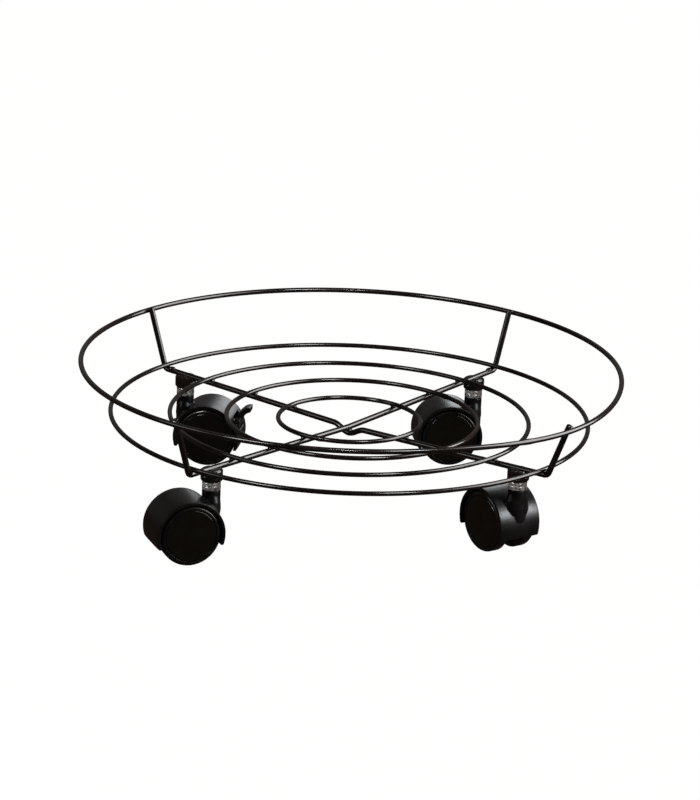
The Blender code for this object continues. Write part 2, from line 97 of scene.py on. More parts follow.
# Sockets and stems.
SOCKET_RADIUS = 6.75 * MM
SOCKET_BORE = 4.35 * MM
SOCKET_BORE_TOP = 52.7 * MM
SOCKET_BORE_EDGE = 0.4 * MM
SOCKET_FOOT_FLAT = 3.0 * MM
SOCKET_FOOT_ROUND = 2.2 * MM
SOCKET_TOP_EDGE = 0.6 * MM
SOCKET_NOTCH_GAP = 0.1 * MM
STEM_THREAD = 4.0 * MM
STEM_COLLAR = 5.7 * MM
STEM_COLLAR_NECK = 4.9 * MM
STEM_GROOVE_SHARE = 0.58
STEM_EDGE = 0.4 * MM
STEM_ROUNDING = 0.45 * MM
STEM_PINTLE = 3.5 * MM
STEM_LENGTH = 18.5 * MM
THREAD_PITCH = 1.25 * MM
THREAD_DEPTH = 0.55 * MM
THREAD_ROWS_PER_TURN = 12

# Half sizes of the welds: along the arm, across it and up.
RING_WELD = (1.9 * MM, 1.9 * MM, 1.0 * MM)
UPRIGHT_WELD = (1.1 * MM, 2.0 * MM, 1.7 * MM)
ELBOW_WELD = (1.3 * MM, 2.2 * MM, 1.3 * MM)
ARM_WELD = (2.8 * MM, 2.1 * MM, 1.3 * MM)
ARM_WELD_INSET = 2.8 * MM
SOCKET_SIDE_WELD = (4.6 * MM, 2.2 * MM, 1.0 * MM)
SOCKET_END_WELD = (1.3 * MM, 2.2 * MM, 1.6 * MM)
CROSSING_WELD = (2.2 * MM, 2.2 * MM, 1.1 * MM)
# Where a socket's welds are: out from its middle, and down from its top.
SOCKET_SIDE_SPOT = (1.9 * CROSS_WIRE, 0.2 * MM)
SOCKET_END_SPOT = (0.9 * SOCKET_RADIUS, 1.6 * MM)
# A weld's skin is noise: how deep, how many lumps across, and how different from weld to weld.
WELD_ROUGHNESS = 0.18
WELD_LUMPS = 1.7
WELD_VARIETY = 900.0

# Castor.
WHEEL_RADIUS = 19.0 * MM
WHEEL_INNER_FACE = 6.0 * MM
WHEEL_OUTER_FACE = 13.9 * MM
WHEEL_SHOULDER = 2.2 * MM
WHEEL_INNER_EDGE = 0.7 * MM
WHEEL_RIM_EDGE = 0.04 * MM
WHEEL_HUB_WALL = 3.0 * MM
WHEEL_WEB_INSET = 2.6 * MM
WHEEL_WEB_THICKNESS = 1.8 * MM
WHEEL_ROUNDING = 0.45 * MM
WHEEL_RIB_PAIRS = 4
WHEEL_RIB_HALF = 0.5 * MM
WHEEL_RIB_START = 0.6 * MM
WHEEL_RIB_END = 3.4 * MM
CAP_RADIUS = 16.0 * MM
CAP_CROWN = 14.3 * MM
CAP_GAP = 0.15 * MM
CAP_RIM_DROP = 0.1 * MM
CAP_RIM_WIDTH = 1.6 * MM
CAP_ROUNDING = 1.4 * MM
CAP_CROWN_STEPS = 10
AXLE_RADIUS = 2.0 * MM
AXLE_HALF_LENGTH = 12.2 * MM
AXLE_EDGE = 0.3 * MM
AXLE_PLAY = 0.2 * MM
CLIP_RADIUS = 4.2 * MM
CLIP_SEAT = 4.4 * MM
CLIP_PLAY = 0.05 * MM
CLIP_THICKNESS = 0.8 * MM
CLIP_CONE = 0.25 * MM
CLIP_ROUNDING = 0.12 * MM
HOOD_RADIUS = 21.7 * MM
HOOD_WALL = 2.2 * MM
HOOD_HALF_WIDTH = 14.75 * MM
HOOD_SKIRT_DROP = 7.0 * MM
HOOD_WEB_HALF = 1.6 * MM
HOOD_CROWN = 0.35 * MM
HOOD_STEPS = 120
HOOD_CROWN_STEPS = 12
NECK_RADIUS = 5.65 * MM
NECK_TOP = 43.0 * MM
NECK_FOOT_ABOVE_AXLE = 3.2 * MM
NECK_FOOT_ROUND = 2.5 * MM
NECK_FLARE_ROUND = 3.0 * MM
NECK_FLARE_STRETCH = 1.3
# The flare's outline: its radius as a share of the neck's, and its height above the axle.
NECK_FLARE = ((0.5, 6.0 * MM), (0.95, 8.5 * MM), (1.04, 12.0 * MM), (0.98, 17.0 * MM), (0.74, 22.0 * MM))
AXLE_BOSS_RADIUS = 4.6 * MM
RUNNING_GAP = 0.3 * MM

# Brake lever.
LEVER_BARREL = 2.0 * MM
LEVER_BARREL_PLAY = 0.1 * MM
LEVER_HALF_WIDTH = 7.5 * MM
LEVER_FINGER_HALF_WIDTH = 4.6 * MM
LEVER_THICKNESS = 3.0 * MM
LEVER_ROOT_SWELL = 0.4
LEVER_TIP = Vector((27.2 * MM, 18.1 * MM))
LEVER_BEND_SHARE = 0.45
LEVER_NOSE = 4.4 * MM
LEVER_NOSE_CLEARANCE = 1.35 * MM
LEVER_NOSE_THICKNESS = 1.9 * MM
GRIP_START = 0.55
GRIP_SHARE = 0.4
GRIP_RIDGES = 5
GRIP_HEIGHT = 0.3 * MM
PIN_RADIUS = 0.9 * MM
PIN_EDGE = 0.2 * MM
PIN_PLAY = 0.2 * MM
EAR_THICKNESS = 2.0 * MM
BRAKE_SLOT_BELOW = radians(17.0)
BRAKE_SLOT_ABOVE = radians(9.0)
BRAKE_SLOT_INNER = WHEEL_RADIUS - 1.5 * MM
BRAKE_SLOT_OUTER = HOOD_RADIUS + 6.0 * MM

# Corners in a full turn, for each kind of round shape, then steps along each stretch of a cross wire.
RING_STEPS = 288
WIRE_SIDES = 16
WHEEL_SIDES = 96
SMALL_SIDES = 48
UPRIGHT_STEPS = 10
ELBOW_STEPS = 14
SPOKE_STEPS = 30
CENTRE_DIP_STEPS = 24

# Edges that turn by more than this are shaded as sharp.
SHARP_ANGLE = radians(38.0)

# Moulded parts are melted together at a grain, smoothed, then thinned to a share of their faces.
MOULD_GRAIN = 0.32 * MM
LEVER_GRAIN = 0.2 * MM
MOULD_SMOOTHINGS = 3
MOULD_KEEP = 0.3

# Camera: it looks at the middle of the base rings from the front.
AIM_HEIGHT = 60.0 * MM
CAMERA_DISTANCE = 2.248
CAMERA_AZIMUTH = radians(-96.75)
CAMERA_ELEVATION = radians(17.98)
CAMERA_ROLL = radians(2.39)
CAMERA_LENS_MM = 162.0
CAMERA_SHIFT_RIGHT = 0.0007
CAMERA_SHIFT_UP = 0.0183
LIGHT_DISTANCE = 1.4
FLOOR_HALF = 8.0


# ------------------------ places and meshes


def outward_at(angle):
    """The level direction away from the middle, at an angle from +X."""
    return Vector((cos(angle), sin(angle), 0.0))


def across_at(angle):
    """The level direction square to the one at an angle from +X."""
    return Vector((-sin(angle), cos(angle), 0.0))


def full_turn(count):
    """Even angles once round."""
    return [2.0 * pi * step / count for step in range(count)]


def joint_place(name):
    return Vector(JOINTS[name]["pos_m"])


def add_object(name, data):
    made = bpy.data.objects.new(name, data)
    bpy.context.scene.collection.objects.link(made)
    return made


def mesh_from(name, corners, faces):
    """A mesh from corner points and faces, with its faces turned outwards."""
    shape = bmesh.new()
    points = [shape.verts.new(corner) for corner in corners]
    for face in faces:
        shape.faces.new([points[index] for index in face])
    bmesh.ops.recalc_face_normals(shape, faces=shape.faces)
    mesh = bpy.data.meshes.new(name)
    shape.to_mesh(mesh)
    shape.free()
    mesh.shade_smooth()
    mesh.set_sharp_from_angle(angle=SHARP_ANGLE)
    return mesh


def sweep_mesh(name, sections, closed=False):
    """Joins equal loops of points into a tube, with flat ends unless the tube is closed."""
    sides = len(sections[0])
    corners = [point for section in sections for point in section]
    faces = []
    for step in range(len(sections) if closed else len(sections) - 1):
        near = step * sides
        far = (step + 1) % len(sections) * sides
        for side in range(sides):
            after = (side + 1) % sides
            faces.append((near + side, near + after, far + after, far + side))
    if not closed:
        faces.append(tuple(range(sides)))
        faces.append(tuple(range(len(corners) - sides, len(corners))))
    return mesh_from(name, corners, faces)


def turned(outline, sides):
    """Copies of an outline of (radius, height) points, turned about Z."""
    sections = []
    for angle in full_turn(sides):
        outward = outward_at(angle)
        sections.append([outward * radius + UP * height for radius, height in outline])
    return sections


def lathe_mesh(name, outline, sides):
    """Turns a closed outline of (radius, height) points about Z."""
    return sweep_mesh(name, turned(outline, sides), closed=True)


def rod_mesh(name, outline, sides=SMALL_SIDES):
    """Turns an open outline of (radius, height) points about Z, and closes its two ends flat."""
    rows = list(zip(*turned(outline, sides)))
    return sweep_mesh(name, rows)


def soften(outline, radius, closed=False, steps=4):
    """Rounds the corners of an outline, by up to the given radius."""
    softened = []
    last = len(outline) - 1
    for index, corner in enumerate(outline):
        if not closed and index in (0, last):
            softened.append(tuple(corner))
            continue
        corner = Vector(corner)
        before = Vector(outline[index - 1]) - corner
        after = Vector(outline[(index + 1) % len(outline)]) - corner
        reach = radius / tan(before.angle(after) / 2.0)
        reach = min(reach, 0.45 * before.length, 0.45 * after.length)
        start = corner + before.normalized() * reach
        end = corner + after.normalized() * reach
        for step in range(steps + 1):
            t = step / steps
            softened.append(tuple(start * (1.0 - t) ** 2 + corner * (2.0 * t * (1.0 - t)) + end * t**2))
    return softened


def arc(radius, start, end, steps):
    """Points on an arc round the axle, between two angles in radians."""
    angles = [start + (end - start) * step / steps for step in range(steps + 1)]
    return [(radius * cos(angle), radius * sin(angle)) for angle in angles]


def plate_mesh(name, outline, half_width):
    """Extrudes an outline of (x, z) points along Y, to both sides of the middle."""
    near = [Vector((x, -half_width, z)) for x, z in outline]
    far = [Vector((x, half_width, z)) for x, z in outline]
    return sweep_mesh(name, [near, far])


def cross_rod_mesh(name, outline, centre=(0.0, 0.0)):
    """A turned rod along the axle's direction, centred on an (x, z) point."""
    mesh = rod_mesh(name, outline)
    mesh.transform(Matrix.Rotation(-pi / 2.0, 4, "X"))
    mesh.transform(Matrix.Translation((centre[0], 0.0, centre[1])))
    return mesh


def plain_rod(radius, half_length, edge=0.0):
    """The outline of a rod whose ends are chamfered by the edge."""
    if not edge:
        return [(radius, -half_length), (radius, half_length)]
    return [
        (radius - edge, -half_length),
        (radius, edge - half_length),
        (radius, half_length - edge),
        (radius - edge, half_length),
    ]


def combined(name, base, steps, finishing=()):
    """Unites and cuts meshes in order, then applies finishing modifiers, given as kind and settings."""
    helpers = []
    target = add_object(name, base)
    for operation, mesh in steps:
        helpers.append(add_object(f"{name}_{operation.lower()}_helper", mesh))
        modifier = target.modifiers.new(mesh.name, "BOOLEAN")
        modifier.operation = operation
        modifier.solver = "EXACT"
        modifier.object = helpers[-1]
    for kind, settings in finishing:
        modifier = target.modifiers.new(kind.title(), kind)
        for setting, value in settings.items():
            setattr(modifier, setting, value)
    bpy.context.view_layer.update()
    graph = bpy.context.evaluated_depsgraph_get()
    mesh = bpy.data.meshes.new_from_object(target.evaluated_get(graph))
    mesh.name = name
    for used in (*helpers, target):
        bpy.data.objects.remove(used)
    return mesh


def moulded(name, base, steps, grain):
    """Like combined, then melts every junction into a small fillet, as in a moulding."""
    finishing = (
        ("REMESH", {"mode": "VOXEL", "voxel_size": grain}),
        ("SMOOTH", {"factor": 0.5, "iterations": MOULD_SMOOTHINGS}),
        ("DECIMATE", {"ratio": MOULD_KEEP}),
    )
    mesh = combined(name, base, steps, finishing)
    mesh.shade_smooth()
    return mesh


# ------------------------ materials


def add_node(tree, kind, inputs=None, **settings):
    """Adds a shader node, with values for its inputs by name and for its settings."""
    node = tree.nodes.new(f"ShaderNode{kind}")
    for setting, value in settings.items():
        setattr(node, setting, value)
    for socket, value in (inputs or {}).items():
        node.inputs[socket].default_value = value
    return node


def place_source(tree):
    """Texture coordinates fixed to the piece, moved by a different amount on each piece."""
    coordinates = add_node(tree, "TexCoord")
    info = add_node(tree, "ObjectInfo")
    shifted = add_node(tree, "VectorMath", operation="ADD")
    tree.links.new(coordinates.outputs["Object"], shifted.inputs[0])
    tree.links.new(info.outputs["Random"], shifted.inputs[1])
    return shifted.outputs["Vector"]


def noise_of(tree, place, size, detail=3.0, roughness=0.55):
    """Noise whose features are about the given size in metres."""
    texture = add_node(tree, "TexNoise", {"Scale": 1.0 / size, "Detail": detail, "Roughness": roughness})
    tree.links.new(place, texture.inputs["Vector"])
    return texture.outputs["Fac"]


def scratches_of(tree, place, size, stretch):
    """Fine streaks along Y, from noise squeezed across them."""
    mapping = add_node(tree, "Mapping", {"Scale": (1.0, 1.0 / stretch, 1.0)})
    tree.links.new(place, mapping.inputs["Vector"])
    return noise_of(tree, mapping.outputs["Vector"], size, detail=2.0)


def spread(tree, source, low=0.0, high=1.0, start=0.3, end=0.7):
    """Maps a source between start and end to the range from low to high."""
    limits = {"From Min": start, "From Max": end, "To Min": low, "To Max": high}
    mapped = add_node(tree, "MapRange", limits)
    tree.links.new(source, mapped.inputs["Value"])
    return mapped.outputs["Result"]


def blended(tree, share, first, second):
    """Mixes two colours, or a socket and a colour, by a share."""
    mix = add_node(tree, "Mix", data_type="RGBA")
    colours = [socket for socket in mix.inputs if socket.type == "RGBA"]
    for socket, colour in zip(colours, (first, second)):
        if isinstance(colour, tuple):
            socket.default_value = (*colour, 1.0)
        else:
            tree.links.new(colour, socket)
    factor = next(socket for socket in mix.inputs if socket.type == "VALUE")
    tree.links.new(share, factor)
    return next(socket for socket in mix.outputs if socket.type == "RGBA")


def bumps(tree, layers):
    """Stacks bump layers, each a source with its depth in metres, and returns the last normal."""
    normal = None
    for source, depth in layers:
        bump = add_node(tree, "Bump", {"Distance": depth})
        tree.links.new(source, bump.inputs["Height"])
        if normal:
            tree.links.new(normal, bump.inputs["Normal"])
        normal = bump.outputs["Normal"]
    return normal


def surface(material, colour, roughness, bump_layers, metallic=0.0):
    """Feeds colour, roughness and bumps into the material's shader."""
    tree = material.node_tree
    shader = tree.nodes["Principled BSDF"]
    tree.links.new(colour, shader.inputs["Base Color"])
    tree.links.new(roughness, shader.inputs["Roughness"])
    tree.links.new(bumps(tree, bump_layers), shader.inputs["Normal"])
    shader.inputs["Metallic"].default_value = metallic
    return material


def new_material(name):
    material = bpy.data.materials.new(name)
    material.use_nodes = True
    return material, material.node_tree


def piece_material(name):
    """A new material with its node tree and its place on the piece."""
    material, tree = new_material(name)
    return material, tree, place_source(tree)


def worn_edges(tree, start, end):
    """1 on sharp outer edges and 0 elsewhere, between two values of the pointiness."""
    geometry = add_node(tree, "NewGeometry")
    return spread(tree, geometry.outputs["Pointiness"], start=start, end=end)


def paint_material():
    """Black gloss paint over wire: orange peel and a few duller, warmer patches."""
    material, tree, place = piece_material("caddy_black_paint")
    patches = noise_of(tree, place, 22.0 * MM, detail=4.0)
    peel = noise_of(tree, place, 1.1 * MM, detail=2.0)
    dust = noise_of(tree, place, 0.35 * MM, detail=1.0)
    colour = blended(tree, spread(tree, patches), (0.0025, 0.0022, 0.0022), (0.009, 0.006, 0.005))
    roughness = spread(tree, patches, 0.11, 0.19)
    return surface(material, colour, roughness, ((peel, 0.014 * MM), (dust, 0.002 * MM)))


def nylon_material():
    """Moulded black nylon: fine spark-eroded grain, faint flow marks and slightly polished edges."""
    material, tree, place = piece_material("caddy_black_nylon")
    flow = noise_of(tree, place, 14.0 * MM)
    grain = noise_of(tree, place, 0.28 * MM, roughness=0.7)
    body = blended(tree, spread(tree, flow), (0.0038, 0.0034, 0.0036), (0.0085, 0.0072, 0.0075))
    colour = blended(tree, worn_edges(tree, 0.53, 0.62), body, (0.016, 0.015, 0.016))
    roughness = spread(tree, flow, 0.30, 0.42)
    return surface(material, colour, roughness, ((flow, 0.10 * MM), (grain, 0.022 * MM)))


def gloss_material():
    """Smooth black plastic: hairline scratches and a low wave in the moulding."""
    material, tree, place = piece_material("caddy_black_gloss")
    wave = noise_of(tree, place, 9.0 * MM, detail=1.0)
    scratches = scratches_of(tree, place, 0.25 * MM, 24.0)
    colour = blended(tree, spread(tree, wave), (0.0050, 0.0047, 0.0036), (0.0034, 0.0030, 0.0022))
    roughness = spread(tree, scratches, 0.09, 0.16)
    return surface(material, colour, roughness, ((wave, 0.04 * MM), (scratches, 0.002 * MM)))


def tread_material():
    """Black wheel moulding, scuffed and a little dusty in places."""
    material, tree, place = piece_material("caddy_black_tread")
    smears = noise_of(tree, place, 5.0 * MM, detail=5.0, roughness=0.65)
    pits = noise_of(tree, place, 0.4 * MM, detail=2.0)
    scuffed = spread(tree, smears, start=0.45, end=0.75)
    colour = blended(tree, scuffed, (0.0030, 0.0028, 0.0025), (0.0100, 0.0085, 0.0075))
    roughness = spread(tree, smears, 0.15, 0.34)
    return surface(material, colour, roughness, ((smears, 0.015 * MM), (pits, 0.003 * MM)))


def chrome_material():
    """Bright zinc plating on turned steel: ripples that break up what it mirrors, and dull smudges."""
    material, tree, place = piece_material("caddy_chrome")
    smudge = noise_of(tree, place, 1.2 * MM, detail=4.0)
    ripple = noise_of(tree, place, 1.5 * MM, detail=2.0)
    patches = spread(tree, smudge, start=0.42, end=0.60)
    colour = blended(tree, patches, (0.88, 0.87, 0.85), (0.16, 0.15, 0.14))
    roughness = spread(tree, smudge, 0.14, 0.36)
    return surface(material, colour, roughness, ((ripple, 0.14 * MM),), metallic=0.6)


def steel_material():
    """Bare drawn steel with fine lines along the rod."""
    material, tree, place = piece_material("caddy_bright_steel")
    lines = scratches_of(tree, place, 0.2 * MM, 40.0)
    stain = noise_of(tree, place, 4.0 * MM, detail=4.0)
    colour = blended(tree, spread(tree, stain), (0.54, 0.53, 0.52), (0.36, 0.33, 0.30))
    roughness = spread(tree, lines, 0.26, 0.46)
    return surface(material, colour, roughness, ((lines, 0.01 * MM),), metallic=1.0)


PAINT = (paint_material(), "black_paint")
NYLON = (nylon_material(), "black_nylon")
GLOSS = (gloss_material(), "black_gloss")
TREAD = (tread_material(), "black_tread")
CHROME = (chrome_material(), "chrome_plate")
STEEL = (steel_material(), "bright_steel")


def add_piece(name, mesh, finish, body, place=Matrix.Identity(4)):
    """Adds one piece that rides a body."""
    material, slot = finish
    if not mesh.materials:
        mesh.materials.append(material)
    piece = add_object(name, mesh)
    piece.matrix_world = place
    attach(piece, body)
    return piece


def finish_node(node, mesh, finish, body, place=Matrix.Identity(4)):
    """Adds the finished piece that stands for one CAD node."""
    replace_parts(add_piece(f"{node}_finished", mesh, finish, body, place), node)


# ------------------------ wire frame


def ring_place(node, wire):
    """Centre and radius of the middle of a ring's wire, whose packed section has a flat on top."""
    low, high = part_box(node)
    centre = (low + high) / 2.0
    centre.z = high.z - wire * sin(pi / 3.0)
    reach = max((vertex.co - centre).xy.length for vertex in frame["nodes"][node].data.vertices)
    return centre, reach - wire


def wander(angle, phase):
    """How far a hand-closed ring strays from true at an angle, between about -1 and 1."""
    return 0.6 * sin(2.0 * angle + phase) + 0.4 * sin(5.0 * angle + 2.3 * phase)


def sag(angle):
    """How far the top ring hangs below its level at an angle; it is knocked down round one upright."""
    away = remainder(angle - SAG_HEADING, 2.0 * pi)
    if abs(away) > SAG_HALF_SPAN:
        return 0.0
    return TOP_RING_SAG * (0.5 + 0.5 * cos(pi * away / SAG_HALF_SPAN))


def ring_mesh(node, wire, seam):
    """A ring of wire that swells a little where its ends are welded together."""
    centre, radius = ring_place(node, wire)
    sections = []
    for angle in full_turn(RING_STEPS):
        away = remainder(angle - seam, 2.0 * pi) * radius / SEAM_HALF_LENGTH
        swell = 1.0 + SEAM_SWELL * exp(-(away**2))
        outward = outward_at(angle)
        middle = centre + outward * (radius + RING_WANDER * wander(angle, seam))
        middle += UP * (0.5 * RING_WANDER * wander(angle, seam + 1.0))
        if node == "top_ring":
            middle -= UP * sag(angle)
        section = [outward * cos(turn) + UP * sin(turn) for turn in full_turn(WIRE_SIDES)]
        sections.append([middle + offset * (wire * swell) for offset in section])
    return sweep_mesh(node, sections, closed=True)


def build_rings():
    for node, seam in SEAMS.items():
        wire = TOP_RING_WIRE if node == "top_ring" else BASE_RING_WIRE
        finish_node(node, ring_mesh(node, wire, radians(seam)), PAINT, "frame")


class Dish:
    """Heights of the cross wires under the base rings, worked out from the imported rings."""

    outer_centre, outer_radius = ring_place("base_ring_outer", BASE_RING_WIRE)
    inner_centre, inner_radius = ring_place("base_ring_inner", BASE_RING_WIRE)
    top_centre, top_radius = ring_place("top_ring", TOP_RING_WIRE)
    outer_spot = Vector((outer_radius, outer_centre.z))
    slope = (outer_centre.z - inner_centre.z) / (outer_radius - inner_radius)
    nest = CROSS_WIRE + BASE_RING_WIRE + WELD_GAP

    @classmethod
    def arm_height(cls, reach):
        """Height of a cross wire's middle at a distance from the centre, away from the dip."""
        under_ring = cls.outer_centre.z - cls.nest / cos(atan(cls.slope))
        return under_ring + cls.slope * (reach - cls.outer_radius)

    @classmethod
    def top_spot(cls, angle):
        """Middle of the top ring's wire at an angle, as (reach, height)."""
        return Vector((cls.top_radius, cls.top_centre.z - sag(angle)))

    @classmethod
    def upright_lean(cls, angle):
        """Lean of the upright at an angle: it passes outside the base and inside the top ring."""
        apart = cls.top_spot(angle) - cls.outer_spot
        clearances = BASE_RING_WIRE + TOP_RING_WIRE + 2.0 * (CROSS_WIRE + WELD_GAP)
        return atan2(apart.y, apart.x) + pi / 2.0 - acos(clearances / apart.length)

    @classmethod
    def upright_foot(cls, angle):
        """Where the upright leaves the elbow, as (reach, height)."""
        side = cls.upright_lean(angle) - pi / 2.0
        return Vector((
            cls.outer_radius + cls.nest * cos(side),
            cls.outer_centre.z + cls.nest * sin(side),
        ))


def straight(start, end, steps):
    """Even points on a line, with its start and without its end."""
    return [start + (end - start) * (step / steps) for step in range(steps)]


def elbow_path(angle):
    """The bend round the outer base ring, from the upright to the spoke."""
    start = Dish.upright_lean(angle) - pi / 2.0
    end = atan(Dish.slope) - pi / 2.0
    return [Dish.outer_spot + Vector(point) for point in arc(Dish.nest, start, end, ELBOW_STEPS)]


def arm_path(angle):
    """Half a cross wire, as (reach, height) points from the upright's top to the start of the dip."""
    lean = Dish.upright_lean(angle)
    along = outward_at(lean).xy
    foot = Dish.upright_foot(angle)
    top = foot + along * ((Dish.top_spot(angle) - foot).dot(along) + UPRIGHT_OVERSHOOT)
    elbow = elbow_path(angle)
    spoke_end = Vector((CENTRE_DIP_HALF_SPAN, Dish.arm_height(CENTRE_DIP_HALF_SPAN)))
    shaft = straight(top, elbow[0], UPRIGHT_STEPS)
    shaft.insert(1, top.lerp(shaft[1], 0.1))
    return [*shaft, *elbow[:-1], *straight(elbow[-1], spoke_end, SPOKE_STEPS), spoke_end]


def dip_path(depth):
    """The middle of a cross wire, which dips in a smooth wave by the given depth."""
    points = []
    for step in range(1, CENTRE_DIP_STEPS):
        reach = CENTRE_DIP_HALF_SPAN * (1.0 - 2.0 * step / CENTRE_DIP_STEPS)
        wave = 0.5 + 0.5 * cos(pi * reach / CENTRE_DIP_HALF_SPAN)
        points.append(Vector((reach, Dish.arm_height(abs(reach)) - depth * wave)))
    return points


def end_rounding(index, count):
    """How much of the wire's radius is left near its two cut ends."""
    from_end = min(index, count - 1 - index)
    return WIRE_END_SHARES[from_end] if from_end < len(WIRE_END_SHARES) else 1.0


def cross_wire_mesh(name, angle, depth):
    """One wire from upright to upright, in the upright plane at the given angle."""
    opposite = [Vector((-point.x, point.y)) for point in reversed(arm_path(angle + pi))]
    path = arm_path(angle) + dip_path(depth) + opposite
    outward = outward_at(angle)
    across = across_at(angle)
    sway = [0.5 * RING_WANDER * wander(8.0 * point.x, angle) for point in path]
    centres = [outward * point.x + UP * point.y + across * shift for point, shift in zip(path, sway)]
    sections = []
    for index, centre in enumerate(centres):
        before = centres[max(index - 1, 0)]
        after = centres[min(index + 1, len(centres) - 1)]
        normal = across.cross(after - before).normalized()
        radius = CROSS_WIRE * end_rounding(index, len(centres))
        section = [across * cos(turn) + normal * sin(turn) for turn in full_turn(WIRE_SIDES)]
        sections.append([centre + offset * radius for offset in section])
    return sweep_mesh(name, sections)


def arm_angle(corner):
    x, y, _ = JOINTS[f"swivel_{corner}"]["pos_m"]
    return atan2(y, x)


def stem_place(corner):
    """Puts a shape made round +Z at one stem, with +X away from the caddy's middle."""
    stem = joint_place(f"swivel_{corner}")
    return Matrix.Translation((stem.x, stem.y, 0.0)) @ Matrix.Rotation(arm_angle(corner), 4, "Z")


def build_cross_wires():
    dip = 2.0 * CROSS_WIRE + WELD_GAP
    wires = (("cross_wire_upper", "back_right", 0.0), ("cross_wire_lower", "back_left", dip))
    for node, corner, depth in wires:
        finish_node(node, cross_wire_mesh(node, arm_angle(corner), depth), PAINT, "frame")


def nugget(shape, centre, half_sizes, heading):
    """Adds one lumpy weld to a bmesh: a ball stretched along a heading, with a rough skin."""
    made = bmesh.ops.create_icosphere(shape, subdivisions=3, radius=1.0)
    turn = Matrix.Rotation(heading, 3, "Z")
    for vertex in made["verts"]:
        rough = 1.0 + WELD_ROUGHNESS * noise.noise(vertex.co * WELD_LUMPS + centre * WELD_VARIETY)
        stretched = Vector(size * value for size, value in zip(half_sizes, vertex.co * rough))
        vertex.co = centre + turn @ stretched


def ring_weld(shape, node, angle):
    """A weld where a base ring lies on an arm."""
    centre, radius = ring_place(node, BASE_RING_WIRE)
    spot = centre + outward_at(angle) * radius
    spot.z = centre.z - BASE_RING_WIRE - 0.5 * WELD_GAP
    nugget(shape, spot, RING_WELD, angle)


def upright_weld(shape, angle):
    """A weld where an upright meets the inner side of the top ring."""
    inside = outward_at(Dish.upright_lean(angle) + pi / 2.0).xy
    spot = Dish.top_spot(angle) + inside * (TOP_RING_WIRE + 0.5 * WELD_GAP)
    nugget(shape, outward_at(angle) * spot.x + UP * spot.y, UPRIGHT_WELD, angle)


def elbow_weld(shape, angle):
    """Two welds on the outer base ring: one in the elbow, one on the arm beside it."""
    side = 0.5 * (Dish.upright_lean(angle) + atan(Dish.slope) - pi)
    spot = Dish.outer_spot + outward_at(side).xy * (BASE_RING_WIRE + 0.5 * WELD_GAP)
    nugget(shape, outward_at(angle) * spot.x + UP * spot.y, ELBOW_WELD, angle)
    beside = Dish.outer_radius - ARM_WELD_INSET
    above = Dish.arm_height(beside) + 0.7 * CROSS_WIRE
    nugget(shape, outward_at(angle) * beside + UP * above, ARM_WELD, angle)


def socket_welds(shape, corner):
    """A bead that fills the socket's top on each side of the arm, and one at each end of the notch."""
    angle = arm_angle(corner)
    low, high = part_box(f"socket_{corner}")
    middle = (low + high) / 2.0
    welds = (
        (across_at(angle), SOCKET_SIDE_SPOT, SOCKET_SIDE_WELD),
        (outward_at(angle), SOCKET_END_SPOT, SOCKET_END_WELD),
    )
    for side in (-1.0, 1.0):
        for direction, (out, down), half_sizes in welds:
            spot = middle + direction * (side * out)
            spot.z = high.z - down
            nugget(shape, spot, half_sizes, angle)


def build_welds():
    shape = bmesh.new()
    for corner in CORNERS:
        angle = arm_angle(corner)
        for node in ("base_ring_second", "base_ring_third", "base_ring_inner"):
            ring_weld(shape, node, angle)
        elbow_weld(shape, angle)
        upright_weld(shape, angle)
        socket_welds(shape, corner)
    crossing = UP * (Dish.arm_height(0.0) - CROSS_WIRE - 0.5 * WELD_GAP)
    nugget(shape, crossing, CROSSING_WELD, 0.0)
    mesh = bpy.data.meshes.new("frame_welds")
    shape.to_mesh(mesh)
    shape.free()
    mesh.shade_smooth()
    add_piece(mesh.name, mesh, PAINT, "frame")


# ------------------------ sockets and stems


def socket_bore_mesh(foot):
    """The blind hole that takes the stem's thread, with a chamfered mouth."""
    mouth = SOCKET_BORE + SOCKET_BORE_EDGE
    outline = [(mouth, foot - MM), (mouth, foot), (SOCKET_BORE, foot + SOCKET_BORE_EDGE)]
    return rod_mesh("socket_bore", [*outline, (SOCKET_BORE, SOCKET_BORE_TOP)])


def socket_notch_mesh(corner, top):
    """The groove across the socket's top that the arm lies in."""
    arm = Dish.arm_height(joint_place(f"swivel_{corner}").xy.length)
    floor = arm - CROSS_WIRE - Dish.slope * SOCKET_RADIUS - SOCKET_NOTCH_GAP
    half = CROSS_WIRE + SOCKET_NOTCH_GAP
    outline = [(-half, floor), (half, floor), (half, top), (-half, top)]
    cutter = plate_mesh("socket_notch", outline, 3.0 * SOCKET_RADIUS)
    cutter.transform(Matrix.Rotation(pi / 2.0, 4, "Z"))
    return cutter


def socket_mesh(corner):
    """A blind socket with a well rounded foot, whose top is notched to take the arm."""
    low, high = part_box(f"socket_{corner}")
    middle = 0.5 * (low.z + high.z)
    rim = [(SOCKET_FOOT_FLAT, low.z), (SOCKET_RADIUS, low.z), (SOCKET_RADIUS, middle)]
    foot = soften(rim, SOCKET_FOOT_ROUND, steps=8)
    edge = [(SOCKET_RADIUS, high.z - SOCKET_TOP_EDGE), (SOCKET_RADIUS - SOCKET_TOP_EDGE, high.z)]
    body = rod_mesh("socket_body", [*foot[:-1], *edge])
    cuts = (socket_bore_mesh(low.z), socket_notch_mesh(corner, high.z + MM))
    return combined("socket", body, [("DIFFERENCE", cut) for cut in cuts])


def build_sockets():
    for corner in CORNERS:
        finish_node(f"socket_{corner}", socket_mesh(corner), PAINT, "frame", stem_place(corner))


